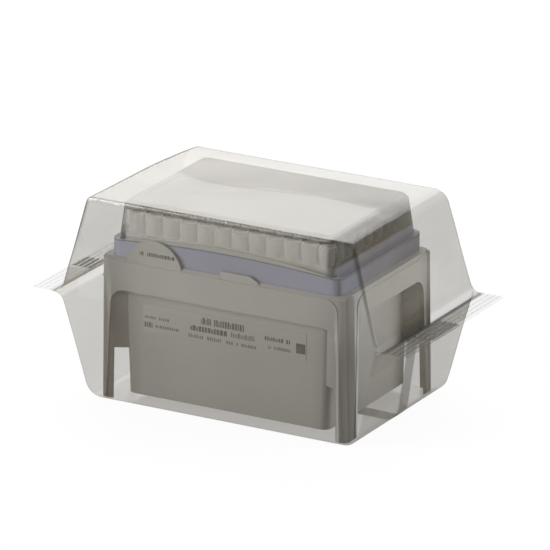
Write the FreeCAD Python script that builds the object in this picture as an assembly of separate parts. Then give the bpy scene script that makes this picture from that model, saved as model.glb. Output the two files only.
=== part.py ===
import FreeCAD, Part
import math
import os

from FreeCAD import Vector

# A sealed box of 96 pipette tips, in millimetres.
# Origin: centre of the underside.  +X along the length, front face towards -Y, +Z up.

# ---- tips and filters; each has a few flat sides, because 96 of them repeat ----
pitch = 9.0
columns = 12
rows = 8
tipSides = 5
tipLength = 80.6
collarLength = 8.9           # stands above the tray
collarAcross = 7.8           # across corners, as are the next five
collarBore = 6.2
neckAcross = 6.2
pointAcross = 1.7
pointBore = 0.8
holeAcross = 6.9
tipSeat = 0.02
filterLength = 8.0
filterDepth = 12.6           # from a tip's mouth down to its filter
filterClearance = 0.05

# ---- heights, from the bucket's underside up to the film ----
bucketFloorZ = 3.0
bucketFloor = 1.4
pointGap = 3.6               # between the points of the tips and the bucket's floor
trayRise = 10.9              # deck of the tray above the top of the base
trayDeckZ = bucketFloorZ + bucketFloor + pointGap + tipLength - collarLength
baseHeight = trayDeckZ - trayRise
tipTopZ = trayDeckZ + collarLength
pointZ = tipTopZ - tipLength
filterTopZ = tipTopZ - filterDepth
lidRoom = 6.8                # above the tips
lidTopZ = tipTopZ + lidRoom
filmRoom = 1.6               # above the lid
filmHeight = lidTopZ + filmRoom

# ---- tray that holds the tips ----
trayEndEdge = 5.5            # from the outer holes' centres to the tray's outside
traySideEdge = 5.2
trayLength = (columns - 1) * pitch + 2 * trayEndEdge
trayDepth = (rows - 1) * pitch + 2 * traySideEdge
trayDeck = 1.4
trayWall = 2.2
trayCorner = 4.0
trayRib = 0.9
trayRibDepth = 5.0
trayFit = 0.1                # between the tray's front wall and the bucket
rimEndReach = 4.8            # rim round the tray, outwards from its ends and its sides
rimSideReach = 2.7
rimLength = trayLength + 2 * rimEndReach
rimDepth = trayDepth + 2 * rimSideReach
rimCorner = 5.0
rimWall = 1.2
rimEndDrop = 2.9             # the rim's top lies this far under the deck at the ends
rimMiddleRise = 1.9          # and arches this far above it in the middle
rimEndZ = trayDeckZ - rimEndDrop
rimMiddleZ = trayDeckZ + rimMiddleRise
locatorInset = 10.0          # strips that drop into the bucket stop this short of the tray's ends
locatorDrop = 3.0
locatorWall = 1.1
locatorClearance = 0.2

# ---- lid; its walls taper from the top of the base, and it stands on the tray's rim ----
lidGap = 2.9                 # round the tray, at the top of the base
lidEndTaper = 3.1            # each side, over the height
lidSideTaper = 2.6
lidLength = trayLength + 2 * lidGap
lidDepth = trayDepth + 2 * lidGap
lidCorner = 4.5
lidChamfer = 2.0
lidWall = 1.2
lidSeat = 0.02
windowRecess = 0.4           # sunk clear window in front of a wavy step
windowMargin = 5.0
waveY = 8.2
waveSwing = 3.6

# ---- base: one moulding, a skirt on four legs round a bucket ----
footClearance = 0.02
baseDraft = 0.7              # each side, over the height
endMargin = 6.4              # of the top, round the lid
sideMargin = 1.5
baseLength = lidLength + 2 * (endMargin + baseDraft)
baseDepth = lidDepth + 2 * (sideMargin + baseDraft)
skirtCorner = 5.0
footChamfer = 0.8
rimChamfer = 1.2
skirtWall = 1.5
deckThickness = 1.6
bucketWall = 1.2
bucketEndTaper = 2.0         # each side, over the height
bucketSideTaper = 0.6
trayLap = 0.6                # how far the tray's ends reach past the bucket's
bucketLength = trayLength - 2 * trayLap
bucketDepth = trayDepth + 2 * (trayFit + bucketWall)
bucketCorner = 4.0
webWall = 1.2                # walls that join the legs to the bucket
webBottomZ = 24.5            # below this the legs stand free
legFrontTop = 6.8            # widths of the legs, seen from the front and from the end
legFrontFoot = 4.0
legSideTop = 11.8
legSideFoot = 8.4
frontBand = 15.3             # height of the skirt over the arches
sideBand = 11.3
archRound = 7.0
panelProud = 0.4             # raised panel on each face of the skirt
panelDrop = 1.4              # below the top of the base
panelFrontTop = 5.8          # plain margins beside the panels
panelFrontFoot = 3.4
panelSideTop = 10.2
panelSideFoot = 6.6
panelRound = 6.0
tabX = -36.0                 # half-round tab in front of the lid
tabRadius = 14.8
tabRise = 10.8
tabThickness = 1.2
lipStart = -1.2              # low catch beside the tab
lipEnd = 18.8
lipRise = 2.4
lipRampLength = 4.6
hingeX = 33.0                # centre of each rear hinge, left and right
hingeClearance = 0.3         # between an ear and the back of the lid and the rim
earWidth = 2.0
earRadius = 1.2
earDrop = 3.0                # how far an ear runs down the back of the skirt
hingeSides = 8
pinRadius = 0.6
pinClearance = 0.1
knuckleLength = 9.0
knuckleClearance = 0.3

# ---- film wrap: one tube of film with a crimped seal at each end ----
filmWall = 0.2
filmSealZ = 49.2
topEndRoom = 5.6             # from the foot of the base out to the film, at each end
sealEndRoom = 19.0           # the same at the root of the end seals
bottomEndRoom = 4.7
topSideRoom = 2.4            # the same at the front and the back
sealSideRoom = 4.9
bottomSideRoom = 1.3
filmTopLength = baseLength + 2 * topEndRoom
filmSealLength = baseLength + 2 * sealEndRoom
filmBottomLength = baseLength + 2 * bottomEndRoom
filmTopDepth = baseDepth + 2 * topSideRoom
filmSealDepth = baseDepth + 2 * sealSideRoom
filmBottomDepth = baseDepth + 2 * bottomSideRoom
filmEndRound = 8.0           # where top and bottom turn down into the end slopes
flareRound = 6.0             # where an end slope turns out into its seal
sealWidth = 14.0
sealGap = 0.2                # what is left between the two films at a seal's root
crimpCount = 4
crimpPitch = 1.8
crimpHeight = 0.45
crimpMargin = 0.9            # plain strip outside the last crimp
seamWidth = 9.0              # long seam, folded flat under the bottom and up the ends
seamThickness = 0.4

# ---- sticker on the front of the bucket ----
labelEndGap = 11.9           # plain length of the bucket at each end of the sticker
labelLength = bucketLength - 2 * labelEndGap
labelHeight = 13.5
labelThickness = 0.15
labelDrop = 12.5             # from the top of the front arch to the sticker's centre
labelCentreX = -0.8
labelCentreZ = baseHeight - frontBand - labelDrop


def roundedOutline(corners):
    """A closed wire through (point, radius) corners, each rounded by a tangent arc."""
    count = len(corners)
    arcs = []
    for index in range(count):
        point, radius = corners[index]
        if radius == 0:
            arcs.append((point, point, None))
            continue
        before = (corners[index - 1][0] - point).normalize()
        after = (corners[(index + 1) % count][0] - point).normalize()
        half = before.getAngle(after) / 2
        reach = radius / math.tan(half)
        middle = (before + after).normalize()
        top = point + middle * (radius / math.sin(half) - radius)
        arcs.append((point + before * reach, point + after * reach, top))
    edges = []
    for index in range(count):
        start, end, top = arcs[index]
        if top is not None:
            edges.append(Part.Arc(start, top, end).toShape())
        following = arcs[(index + 1) % count][0]
        if end.distanceToPoint(following) > 1e-6:
            edges.append(Part.LineSegment(end, following).toShape())
    return Part.Wire(edges)


def taperedBlock(bottom, top, corner):
    """A solid between two rectangles, each (length, depth, z), with its upright edges rounded."""
    lowX, lowY, lowZ = bottom[0] / 2, bottom[1] / 2, bottom[2]
    highX, highY, highZ = top[0] / 2, top[1] / 2, top[2]
    block = Part.makeWedge(-lowX, lowZ, -lowY, -highY, -highX, lowX, highZ, lowY, highY, highX)
    block.rotate(Vector(0, 0, 0), Vector(1, 0, 0), 90)
    tall = (highZ - lowZ) / 2
    upright = [edge for edge in block.Edges if edge.BoundBox.ZLength > tall]
    return block.makeFillet(corner, upright)


def boxBetween(low, high):
    size = high - low
    return Part.makeBox(size.x, size.y, size.z, low)


def frontPrism(corners, yStart, yEnd):
    """Corners are ((x, z), radius); the outline is carried along Y."""
    outline = roundedOutline([(Vector(x, yStart, z), radius) for (x, z), radius in corners])
    return Part.Face(outline).extrude(Vector(0, yEnd - yStart, 0))


def sidePrism(corners, xStart, xEnd):
    """Corners are ((y, z), radius); the outline is carried along X."""
    outline = roundedOutline([(Vector(xStart, y, z), radius) for (y, z), radius in corners])
    return Part.Face(outline).extrude(Vector(xEnd - xStart, 0, 0))


def planPrism(points, zStart, zEnd):
    """Points are (x, y); the outline is carried along Z."""
    outline = Part.makePolygon([Vector(x, y, zStart) for x, y in points + points[:1]])
    return Part.Face(outline).extrude(Vector(0, 0, zEnd - zStart))


def alongX(shape):
    """The same shape at the other end."""
    return shape.mirror(Vector(0, 0, 0), Vector(1, 0, 0))


def alongY(shape):
    """The same shape at the other side."""
    return shape.mirror(Vector(0, 0, 0), Vector(0, 1, 0))


def flatFace(corners):
    return Part.Face(Part.makePolygon(corners + corners[:1]))


def facetedTurning(stations, sides):
    """A turned form with flat sides, through (radius, z) stations."""
    rings = []
    for radius, z in stations:
        turns = [math.tau * (step + 0.5) / sides for step in range(sides)]
        rings.append([Vector(radius * math.cos(turn), radius * math.sin(turn), z) for turn in turns])
    faces = [flatFace(rings[0]), flatFace(rings[-1])]
    for lower, upper in zip(rings, rings[1:]):
        for side in range(sides):
            after = (side + 1) % sides
            faces.append(flatFace([lower[side], lower[after], upper[after], upper[side]]))
    return Part.makeSolid(Part.makeShell(faces))


def save(name, shape):
    shape.exportStep(os.path.join("parts", name + ".step"))
    volume = shape.Volume / 1000
    print(f"{name:20s} solids {len(shape.Solids)}  volume {volume:8.2f} cm3  valid {shape.isValid()}")


# ---------------------------------------------------------------- film wrap

def filmLengthAt(z, inset):
    """Half the distance between the end slopes at a height, after an inset of the wall."""
    sealHalf = filmSealLength / 2
    if z > filmSealZ:
        endHalf = filmTopLength / 2
        rise = filmHeight - filmSealZ
        share = (z - filmSealZ) / rise
    else:
        endHalf = filmBottomLength / 2
        rise = filmSealZ
        share = (filmSealZ - z) / rise
    slant = math.hypot(rise, sealHalf - endHalf) / rise
    return sealHalf + (endHalf - sealHalf) * share - inset * slant


def filmEndOutline(inset):
    """The film seen from the front: slopes, flares and the two end seals."""
    top = filmHeight - inset
    bottom = inset
    sealHalfThickness = filmWall + sealGap / 2 - inset
    above = filmSealZ + sealHalfThickness
    below = filmSealZ - sealHalfThickness
    flare = flareRound + inset
    endRound = filmEndRound - inset
    tip = filmSealLength / 2 + sealWidth
    if inset > 0:
        tip = filmSealLength / 2 + flareRound * 0.45
    right = [
        ((filmLengthAt(bottom, inset), bottom), endRound),
        ((filmLengthAt(below, inset), below), flare),
        ((tip, below), 0),
        ((tip, above), 0),
        ((filmLengthAt(above, inset), above), flare),
        ((filmLengthAt(top, inset), top), endRound),
    ]
    left = [((-x, z), radius) for (x, z), radius in reversed(right)]
    return right + left


def filmDepthOutline(inset):
    """The film seen from the end, with a crease at seal height."""
    topHalf = filmTopDepth / 2 - inset
    creaseHalf = filmSealDepth / 2 - inset
    bottomHalf = filmBottomDepth / 2 - inset
    right = [
        ((bottomHalf, inset), 0),
        ((creaseHalf, filmSealZ), 0),
        ((topHalf, filmHeight - inset), 0),
    ]
    left = [((-y, z), radius) for (y, z), radius in reversed(right)]
    return right + left


def filmVolume(inset):
    reach = filmSealLength / 2 + sealWidth + 1
    lengthwise = frontPrism(filmEndOutline(inset), -filmSealDepth, filmSealDepth)
    crosswise = sidePrism(filmDepthOutline(inset), -reach, reach)
    return lengthwise.common(crosswise)


def crimpOutline():
    """One end seal's pressed ridges, seen from the front."""
    half = filmWall + sealGap / 2
    start = crimpStart()
    upper = [(start, half)]
    lower = [(start, -half)]
    for ridge in range(crimpCount):
        middle = start + (ridge + 0.5) * crimpPitch
        end = start + (ridge + 1) * crimpPitch
        upper += [(middle, half + crimpHeight), (end, half)]
        lower += [(middle, crimpHeight - half), (end, -half)]
    return [((x, filmSealZ + z), 0) for x, z in upper + lower[::-1]]


def crimpStart():
    return filmSealLength / 2 + sealWidth - crimpMargin - crimpCount * crimpPitch


def seamOutline():
    """The lower half of the film's end outline, thicker by the folded seam on its slopes."""
    sealLevel = filmSealZ - 1
    right = [
        ((filmLengthAt(0, -seamThickness), 0), filmEndRound + seamThickness),
        ((filmLengthAt(sealLevel, -seamThickness), sealLevel), 0),
    ]
    left = [((-x, z), radius) for (x, z), radius in reversed(right)]
    return right + left


def makeFilmWrap():
    film = filmVolume(0)
    half = filmSealDepth / 2
    tip = filmSealLength / 2 + sealWidth
    depthLimit = sidePrism(filmDepthOutline(0), filmSealLength / 2, tip)
    crimps = frontPrism(crimpOutline(), -half, half).common(depthLimit)
    flat = boxBetween(
        Vector(crimpStart(), -half, filmSealZ - 1),
        Vector(tip - crimpMargin, half, filmSealZ + 1),
    )
    for strip, cutter in ((crimps, flat), (alongX(crimps), alongX(flat))):
        film = film.cut(cutter).fuse(strip)
    # the long seam lies outside the lower end slopes and is pressed up into the bottom
    film = film.fuse(frontPrism(seamOutline(), -seamWidth, 0))
    seamBed = boxBetween(
        Vector(-filmBottomLength / 2, -seamWidth, 0),
        Vector(filmBottomLength / 2, 0, filmWall + seamThickness),
    )
    return film.cut(filmVolume(filmWall).cut(seamBed)).removeSplitter()


# ---------------------------------------------------------------- base

def skirtBlock(grow, top):
    """The skirt's tapered outside up to a height, moved outwards by grow."""
    draft = 2 * baseDraft * top / baseHeight
    foot = (baseLength + 2 * grow, baseDepth + 2 * grow, 0)
    return taperedBlock(foot, (foot[0] - draft, foot[1] - draft, top), skirtCorner + min(grow, 0))


def bucketSection(inset, z):
    share = (baseHeight - z) / (baseHeight - bucketFloorZ)
    length = bucketLength - 2 * (bucketEndTaper * share + inset)
    depth = bucketDepth - 2 * (bucketSideTaper * share + inset)
    return (length, depth, z)


def bucketBlock(inset, bottom, top):
    """The bucket's tapered form between two heights, moved inwards by inset."""
    corner = bucketCorner - max(inset, 0)
    return taperedBlock(bucketSection(inset, bottom), bucketSection(inset, top), corner)


def archOutline(footHalf, topHalf, topZ, bottomZ, radius):
    slope = (footHalf - topHalf) / topZ
    lowHalf = footHalf - slope * bottomZ
    return [
        ((-lowHalf, bottomZ), 0),
        ((lowHalf, bottomZ), 0),
        ((topHalf, topZ), radius),
        ((-topHalf, topZ), radius),
    ]


def frontArch(grow, bottomZ):
    half = baseLength / 2 + grow
    top = baseHeight - frontBand + grow
    return archOutline(half - legFrontFoot, half - legFrontTop, top, bottomZ, archRound + grow)


def sideArch(grow, bottomZ):
    half = baseDepth / 2 + grow
    top = baseHeight - sideBand + grow
    return archOutline(half - legSideFoot, half - legSideTop, top, bottomZ, archRound + grow)


def archPocket(grow, bottomZ):
    """The four arched openings in the skirt, as one cutter, moved outwards by grow."""
    # in plan, slanted webs run inwards from the front legs to the bucket's corners
    footLength, footDepth, _ = bucketSection(0, bucketFloorZ)
    outerY = -baseDepth / 2
    innerY = -footDepth / 2
    legX = baseLength / 2 - legFrontFoot
    slope = (innerY - outerY) / (legX - footLength / 2)
    outerX = legX + grow * math.hypot(1, slope) / slope
    reachX = footLength / 2 - bucketCorner
    plan = [
        (-outerX, outerY - 5),
        (outerX, outerY - 5),
        (outerX, outerY),
        (reachX, outerY + (outerX - reachX) * slope),
        (-reachX, outerY + (outerX - reachX) * slope),
        (-outerX, outerY),
    ]
    planCutter = planPrism(plan, bottomZ - 1, baseHeight)
    frontPocket = frontPrism(frontArch(grow, bottomZ), outerY - 5, 0).common(planCutter)
    sidePocket = sidePrism(sideArch(grow, bottomZ), reachX, baseLength / 2 + 5)
    return frontPocket.multiFuse([alongY(frontPocket), sidePocket, alongX(sidePocket)])


def frontTab():
    """Half-round tab and the low catch beside it, both flush with the top of the skirt's front."""
    outerY = -(baseDepth / 2 - baseDraft)
    innerY = outerY + tabThickness
    disc = Part.makeCylinder(
        tabRadius, tabThickness, Vector(tabX, outerY, baseHeight + tabRise - tabRadius), Vector(0, 1, 0)
    )
    above = boxBetween(
        Vector(tabX - tabRadius, outerY - 1, baseHeight - rimChamfer - 1),
        Vector(tabX + tabRadius, innerY + 1, baseHeight + tabRise + 1),
    )
    low = baseHeight - rimChamfer - 1
    catch = frontPrism(
        [
            ((lipStart, low), 0),
            ((lipEnd, low), 0),
            ((lipEnd, baseHeight), 1.5),
            ((lipEnd - lipRampLength, baseHeight + lipRise), 1.5),
            ((lipStart, baseHeight + lipRise), 0.3),
        ],
        outerY,
        innerY,
    )
    return [disc.common(above), catch]


def hingeBarrel(x, radius, length):
    """A barrel on the hinge's axis, centred on x."""
    barrel = facetedTurning([(radius, -length / 2), (radius, length / 2)], hingeSides)
    barrel.rotate(Vector(0, 0, 0), Vector(0, 1, 0), 90)
    barrel.translate(Vector(x, hingeAxisY(), rimMiddleZ))
    return barrel


def hingeEar(x):
    """One ear of a rear hinge, with the socket for the lid's pin."""
    y = hingeAxisY()
    foot = boxBetween(
        Vector(x - earWidth / 2, y - earRadius, baseHeight - earDrop),
        Vector(x + earWidth / 2, y + earRadius, rimMiddleZ),
    )
    head = hingeBarrel(x, earRadius, earWidth)
    return foot.fuse(head).cut(hingeBarrel(x, pinRadius + pinClearance, earWidth + 2))


def hingeAxisY():
    return max(lidDepth, rimDepth) / 2 + hingeClearance + earRadius


def earOffset():
    return knuckleLength / 2 + knuckleClearance + earWidth / 2


def facePanels():
    """Raised panels with rounded top corners, one on each face of the skirt."""
    top = baseHeight - panelDrop
    halfLength = baseLength / 2
    halfDepth = baseDepth / 2
    front = archOutline(halfLength - panelFrontFoot, halfLength - panelFrontTop, top, 0, panelRound)
    side = archOutline(halfDepth - panelSideFoot, halfDepth - panelSideTop, top, 0, panelRound)
    proud = skirtBlock(panelProud, top)
    return [
        proud.common(frontPrism(front, -baseDepth, baseDepth)),
        proud.common(sidePrism(side, -baseLength, baseLength)),
    ]


def footTrim():
    """What is taken off round the feet, so that they stand inside the film's lower corners."""
    low = (baseLength - 2 * footChamfer, baseDepth - 2 * footChamfer, 0)
    high = (baseLength + 2 * panelProud, baseDepth + 2 * panelProud, footChamfer + panelProud)
    block = boxBetween(Vector(-baseLength, -baseDepth, -1), Vector(baseLength, baseDepth, high[2]))
    return block.cut(taperedBlock(low, high, skirtCorner - footChamfer))


def makeBase():
    skirt = skirtBlock(0, baseHeight)
    rimEdges = [edge for edge in skirt.Edges if edge.BoundBox.ZMin > baseHeight - 0.01]
    body = skirt.makeChamfer(rimChamfer, rimEdges).multiFuse(facePanels()).cut(footTrim())
    bucket = bucketBlock(0, bucketFloorZ, baseHeight)
    # hollow between skirt and bucket, open below; webs join the two above webBottomZ
    hollow = skirtBlock(-skirtWall, baseHeight - deckThickness)
    body = body.cut(hollow.cut(bucket).cut(archPocket(webWall, webBottomZ)))
    body = body.cut(archPocket(0, -1).cut(bucket))
    body = body.cut(bucketBlock(bucketWall, bucketFloorZ + bucketFloor, baseHeight + 0.01))
    extras = frontTab()
    for side in (-1, 1):
        for end in (-1, 1):
            extras.append(hingeEar(side * hingeX + end * earOffset()))
    body = body.multiFuse(extras).removeSplitter()
    body.translate(Vector(0, 0, filmWall + footClearance))
    return body


# ---------------------------------------------------------------- tray

def holeCentres():
    for column in range(columns):
        for row in range(rows):
            yield Vector((column - (columns - 1) / 2) * pitch, (row - (rows - 1) / 2) * pitch, 0)


def rimTop():
    """Everything above the top of the rim: level at the ends, with one long arch between them."""
    half = trayLength / 2
    far = baseLength
    high = lidTopZ + 5
    arch = Part.Arc(Vector(-half, 0, rimEndZ), Vector(0, 0, rimMiddleZ), Vector(half, 0, rimEndZ))
    points = [(half, rimEndZ), (far, rimEndZ), (far, high), (-far, high), (-far, rimEndZ), (-half, rimEndZ)]
    outline = Part.makePolygon([Vector(x, 0, z) for x, z in points])
    face = Part.Face(Part.Wire([arch.toShape()] + outline.Edges))
    return face.extrude(Vector(0, 2 * baseDepth, 0)).translated(Vector(0, -baseDepth, 0))


def trayRibs():
    """Ribs under the deck, one between each two rows of holes."""
    top = trayDeckZ - trayDeck
    half = trayLength / 2 - trayWall
    ribs = []
    for row in range(rows - 1):
        y = (row - (rows - 2) / 2) * pitch
        low = Vector(-half, y - trayRib / 2, top - trayRibDepth)
        ribs.append(boxBetween(low, Vector(half, y + trayRib / 2, top)))
    return ribs


def trayRim(outside):
    """The rim that stands on the base round the tray, and the groove between the two, open below."""
    low = baseHeight
    sizes = (rimLength, rimDepth)
    rim = taperedBlock((*sizes, low), (*sizes, rimMiddleZ), rimCorner).cut(rimTop())
    sizes = (rimLength - 2 * rimWall, rimDepth - 2 * rimWall)
    groove = taperedBlock((*sizes, low), (*sizes, rimEndZ - rimWall), rimCorner - rimWall)
    tallBlock = boxBetween(
        Vector(-trayLength / 2, -trayDepth / 2, low - 1),
        Vector(trayLength / 2, trayDepth / 2, rimMiddleZ + 1),
    )
    return rim.cut(tallBlock).fuse(outside), groove.cut(outside)


def makeTray():
    low = baseHeight
    sizes = (trayLength, trayDepth)
    outside = taperedBlock((*sizes, low), (*sizes, trayDeckZ), trayCorner)
    room = (trayLength - 2 * trayWall, trayDepth - 2 * trayWall)
    inside = taperedBlock((*room, low), (*room, trayDeckZ - trayDeck), trayCorner - trayWall)
    locatorX = trayLength / 2 - locatorInset
    locatorY = bucketDepth / 2 - bucketWall - locatorClearance
    locator = boxBetween(
        Vector(-locatorX, locatorY - locatorWall, low - locatorDrop),
        Vector(locatorX, locatorY, low + locatorDrop),
    )
    rimmed, groove = trayRim(outside)
    tray = rimmed.cut(groove).cut(inside)
    tray = tray.multiFuse(trayRibs() + [locator, alongY(locator)])
    prism = facetedTurning([(holeAcross / 2, low), (holeAcross / 2, trayDeckZ + 1)], tipSides)
    holes = [prism.translated(centre) for centre in holeCentres()]
    tray = tray.cut(Part.makeCompound(holes)).removeSplitter()
    tray.translate(Vector(0, 0, filmWall + 2 * footClearance))
    return tray


# ---------------------------------------------------------------- lid

def lidSection(inset, z):
    share = (z - baseHeight) / (lidTopZ - baseHeight)
    length = lidLength - 2 * (lidEndTaper * share + inset)
    depth = lidDepth - 2 * (lidSideTaper * share + inset)
    return (length, depth, z)


def windowSunk():
    """The sunk window in the top, closed behind by a wavy step."""
    topLength, topDepth, _ = lidSection(windowMargin, lidTopZ)
    half = topLength / 2
    front = -topDepth / 2
    floor = lidTopZ - windowRecess
    wave = Part.BSplineCurve()
    steps = 6
    points = []
    for step in range(steps + 1):
        share = step / steps
        swing = waveSwing * math.sin(math.tau * (share + 0.5)) * (1 - 0.35 * share)
        points.append(Vector(half - 2 * half * share, waveY - swing, floor))
    wave.interpolate(points)
    corners = [points[-1], Vector(-half, front, floor), Vector(half, front, floor), points[0]]
    wire = Part.Wire([wave.toShape()] + Part.makePolygon(corners).Edges)
    return Part.Face(wire).extrude(Vector(0, 0, windowRecess + 1))


def lidKnuckle(x):
    """Knuckle on the lid's rear edge, with a stub pin at each end."""
    knuckle = hingeBarrel(x, earRadius, knuckleLength)
    _, depthThere, _ = lidSection(lidWall / 2, rimMiddleZ + earRadius)
    arm = boxBetween(
        Vector(x - knuckleLength / 2, depthThere / 2, rimMiddleZ),
        Vector(x + knuckleLength / 2, hingeAxisY(), rimMiddleZ + earRadius),
    )
    return [knuckle, arm, hingeBarrel(x, pinRadius, knuckleLength + 2 * (knuckleClearance + earWidth))]


def makeLid():
    outside = taperedBlock(lidSection(0, baseHeight), lidSection(0, lidTopZ), lidCorner)
    topEdges = [edge for edge in outside.Edges if edge.BoundBox.ZMin > lidTopZ - 0.01]
    outside = outside.makeChamfer(lidChamfer, topEdges).cut(windowSunk())
    knuckles = lidKnuckle(-hingeX) + lidKnuckle(hingeX)
    roofZ = lidTopZ - windowRecess - lidWall
    inside = taperedBlock(
        lidSection(lidWall, baseHeight - 0.01), lidSection(lidWall, roofZ), lidCorner - lidWall
    )
    lid = outside.common(rimTop()).cut(inside).multiFuse(knuckles).removeSplitter()
    lid.translate(Vector(0, 0, filmWall + 2 * footClearance + lidSeat))
    return lid


# ---------------------------------------------------------------- tips, filters, sticker

def boreRadius(z):
    """The bore tapers evenly from the mouth to the point."""
    share = (z - pointZ) / (tipTopZ - pointZ)
    return (pointBore + (collarBore - pointBore) * share) / 2


def makeTip():
    neck = facetedTurning([(pointAcross / 2, pointZ), (neckAcross / 2, trayDeckZ)], tipSides)
    collar = facetedTurning([(collarAcross / 2, trayDeckZ), (collarAcross / 2, tipTopZ)], tipSides)
    bore = facetedTurning([(boreRadius(z), z) for z in (pointZ, tipTopZ)], tipSides)
    tip = neck.fuse(collar).cut(bore).removeSplitter()
    tip.translate(Vector(0, 0, filmWall + 2 * footClearance + tipSeat))
    return tip


def makeFilter():
    ends = (filterTopZ - filterLength, filterTopZ)
    plug = facetedTurning([(boreRadius(z) - filterClearance, z) for z in ends], tipSides)
    plug.translate(Vector(0, 0, filmWall + 2 * footClearance + tipSeat))
    return plug


def inColumn(piece, column):
    x = (column - (columns - 1) / 2) * pitch
    places = [Vector(x, (row - (rows - 1) / 2) * pitch, 0) for row in range(rows)]
    return Part.makeCompound([piece.translated(place) for place in places])


def makeLabel():
    low = labelCentreZ - labelHeight / 2
    high = labelCentreZ + labelHeight / 2
    left = labelCentreX - labelLength / 2
    right = labelCentreX + labelLength / 2
    patch = boxBetween(Vector(left, -bucketDepth, low), Vector(right, -bucketDepth / 4, high))
    thick = bucketBlock(-labelThickness, bucketFloorZ, baseHeight)
    label = thick.common(patch).cut(bucketBlock(0, bucketFloorZ, baseHeight))
    label.translate(Vector(0, 0, filmWall + footClearance))
    return label


def main():
    os.makedirs("parts", exist_ok=True)
    save("film_wrap", makeFilmWrap())
    save("base", makeBase())
    save("tip_tray", makeTray())
    save("lid", makeLid())
    save("front_label", makeLabel())
    tip = makeTip()
    plug = makeFilter()
    for column in range(columns):
        save(f"tips_column_{column + 1:02d}", inColumn(tip, column))
        save(f"filters_column_{column + 1:02d}", inColumn(plug, column))


main()
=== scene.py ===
import math

import bmesh
import bpy
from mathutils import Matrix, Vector, noise


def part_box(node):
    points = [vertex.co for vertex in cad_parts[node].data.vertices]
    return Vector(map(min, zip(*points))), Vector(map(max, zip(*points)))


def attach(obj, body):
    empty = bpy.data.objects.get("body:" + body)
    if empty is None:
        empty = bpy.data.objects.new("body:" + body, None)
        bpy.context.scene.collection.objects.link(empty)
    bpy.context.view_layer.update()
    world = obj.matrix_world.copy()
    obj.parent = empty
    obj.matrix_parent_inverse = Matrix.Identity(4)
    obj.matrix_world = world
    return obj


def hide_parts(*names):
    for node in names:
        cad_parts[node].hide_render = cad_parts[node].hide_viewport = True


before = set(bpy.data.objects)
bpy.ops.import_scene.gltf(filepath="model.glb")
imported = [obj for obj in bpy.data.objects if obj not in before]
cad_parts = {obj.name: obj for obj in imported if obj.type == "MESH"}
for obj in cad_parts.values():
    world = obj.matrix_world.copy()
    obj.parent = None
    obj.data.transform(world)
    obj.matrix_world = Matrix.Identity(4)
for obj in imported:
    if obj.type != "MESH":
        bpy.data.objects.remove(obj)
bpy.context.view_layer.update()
mm = 0.001
# most of a noise texture lies between these
noiseRange = (0.3, 0.7)


# a node's box in millimetres
def inMm(node):
    low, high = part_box(node)
    return Vector(low) / mm, Vector(high) / mm


def scaled(colour, share):
    return tuple(share * part for part in colour)


# takes a mesh in millimetres and leaves the piece at the origin, riding on the one body
def newPiece(name, bm, materials, smoothAngle=40):
    bmesh.ops.scale(bm, vec=(mm, mm, mm), verts=bm.verts)
    bmesh.ops.recalc_face_normals(bm, faces=bm.faces)
    mesh = bpy.data.meshes.new(name)
    bm.to_mesh(mesh)
    bm.free()
    for material in materials:
        mesh.materials.append(material)
    mesh.shade_smooth()
    mesh.set_sharp_from_angle(angle=math.radians(smoothAngle))
    piece = bpy.data.objects.new(name, mesh)
    bpy.context.scene.collection.objects.link(piece)
    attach(piece, "root")
    return piece


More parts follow.
